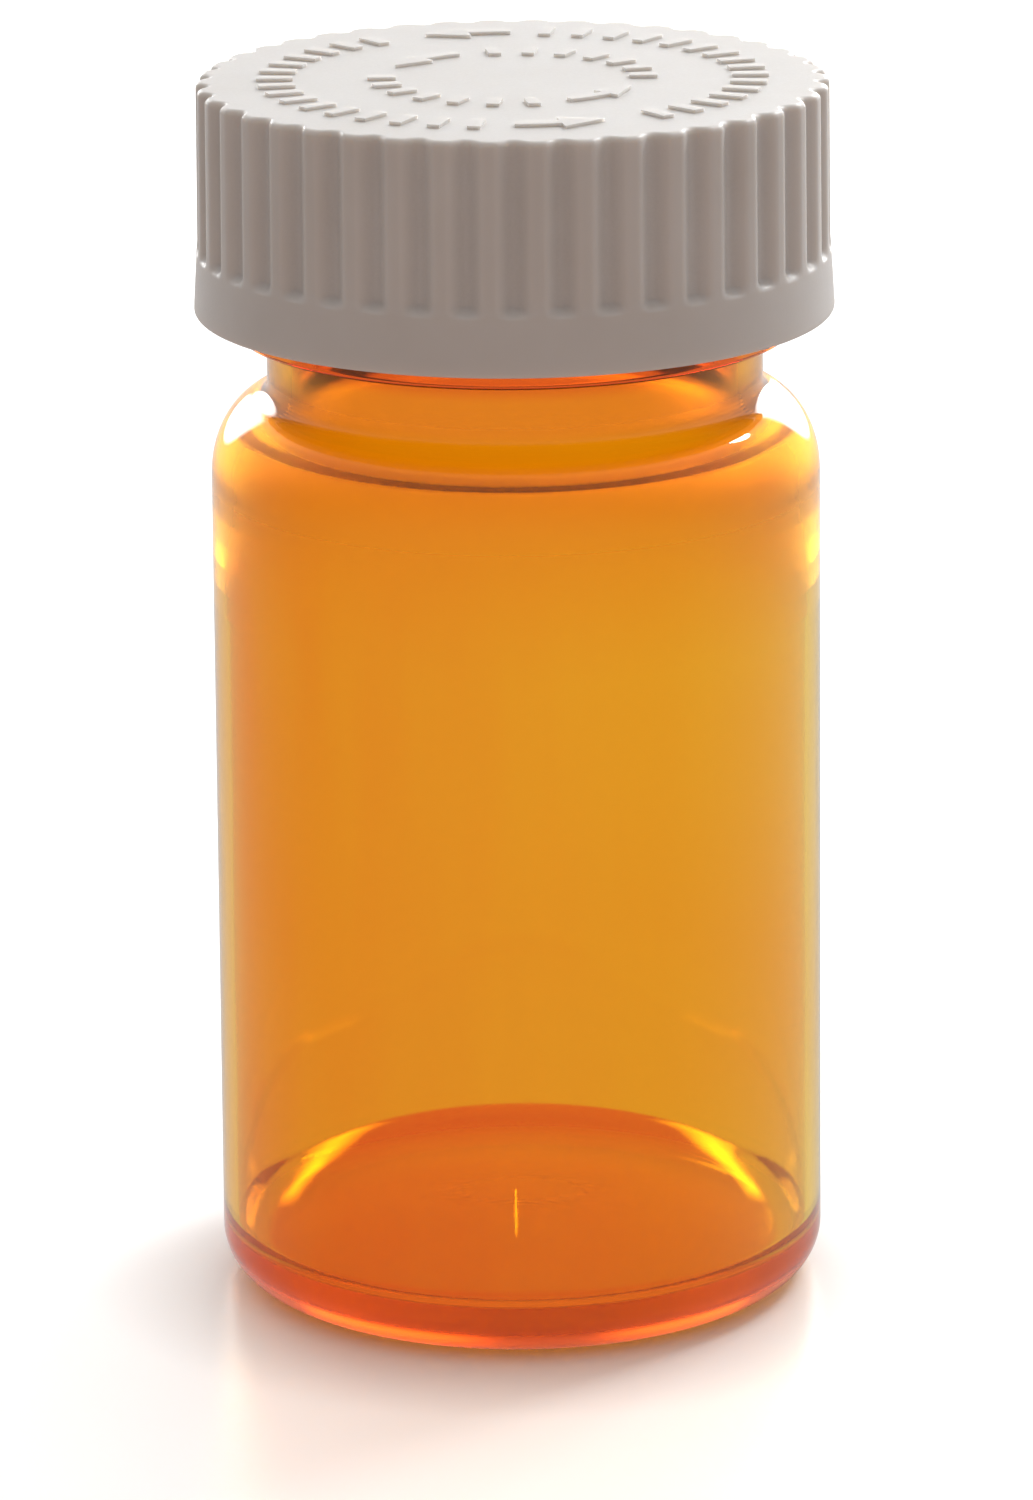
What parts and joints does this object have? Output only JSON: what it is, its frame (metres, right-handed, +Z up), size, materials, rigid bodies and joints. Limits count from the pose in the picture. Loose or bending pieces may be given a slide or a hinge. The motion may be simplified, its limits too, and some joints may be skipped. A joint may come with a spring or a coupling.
{
  "type": "prescription vial",
  "caption": "Amber see-through vial with a threaded neck and a ribbed push-down-and-turn closure of nested shells with liner and spring fingers.",
  "frame": {"origin": "centre of the vial's base, on the plane it stands on", "axes": "+Z up the axis of the vial, the thread and every joint; +X and +Y are alike apart from where the thread starts"},
  "size_m": [0.0458, 0.0458, 0.0891],
  "materials": {
    "amber_plastic": "clear amber moulded plastic, polished inside and out",
    "cap_plastic": "off-white moulded plastic, fine satin grain",
    "inner_plastic": "natural white moulded plastic, satin",
    "liner_foam": "white closed-cell foam with a pressed ring"
  },
  "bodies": {
    "vial": {"vial_body": "amber_plastic"},
    "cap_liner": {"liner": "liner_foam"},
    "cap_inner": {"inner_shell": "inner_plastic"},
    "cap_spring": {"spring_fingers": "inner_plastic"},
    "cap_outer": {"outer_shell": "cap_plastic"}
  },
  "joints": [
    {"name": "cap_lift", "type": "slide", "parent": "vial", "child": "cap_liner", "axis": [0, 0, 1], "range_m": [0, 0.0212]},
    {"name": "cap_turn", "type": "hinge", "parent": "cap_liner", "child": "cap_inner", "pos_m": [0, 0, 0.0826], "axis": [0, 0, 1], "range_deg": [0, 1800]},
    {"name": "idle_spin", "type": "hinge", "parent": "cap_inner", "child": "cap_spring", "pos_m": [0, 0, 0.0855], "axis": [0, 0, 1], "continuous": true},
    {"name": "push_down", "type": "slide", "parent": "cap_spring", "child": "cap_outer", "axis": [0, 0, 1], "range_m": [-0.0012, 0], "stiffness_N_per_m": 12000, "springref_m": 0.0003, "deforming": ["spring_fingers"]}
  ],
  "couplings": [
    {"joint": "cap_lift", "follows": "cap_turn", "m_per_rad": 0.00067376}
  ]
}
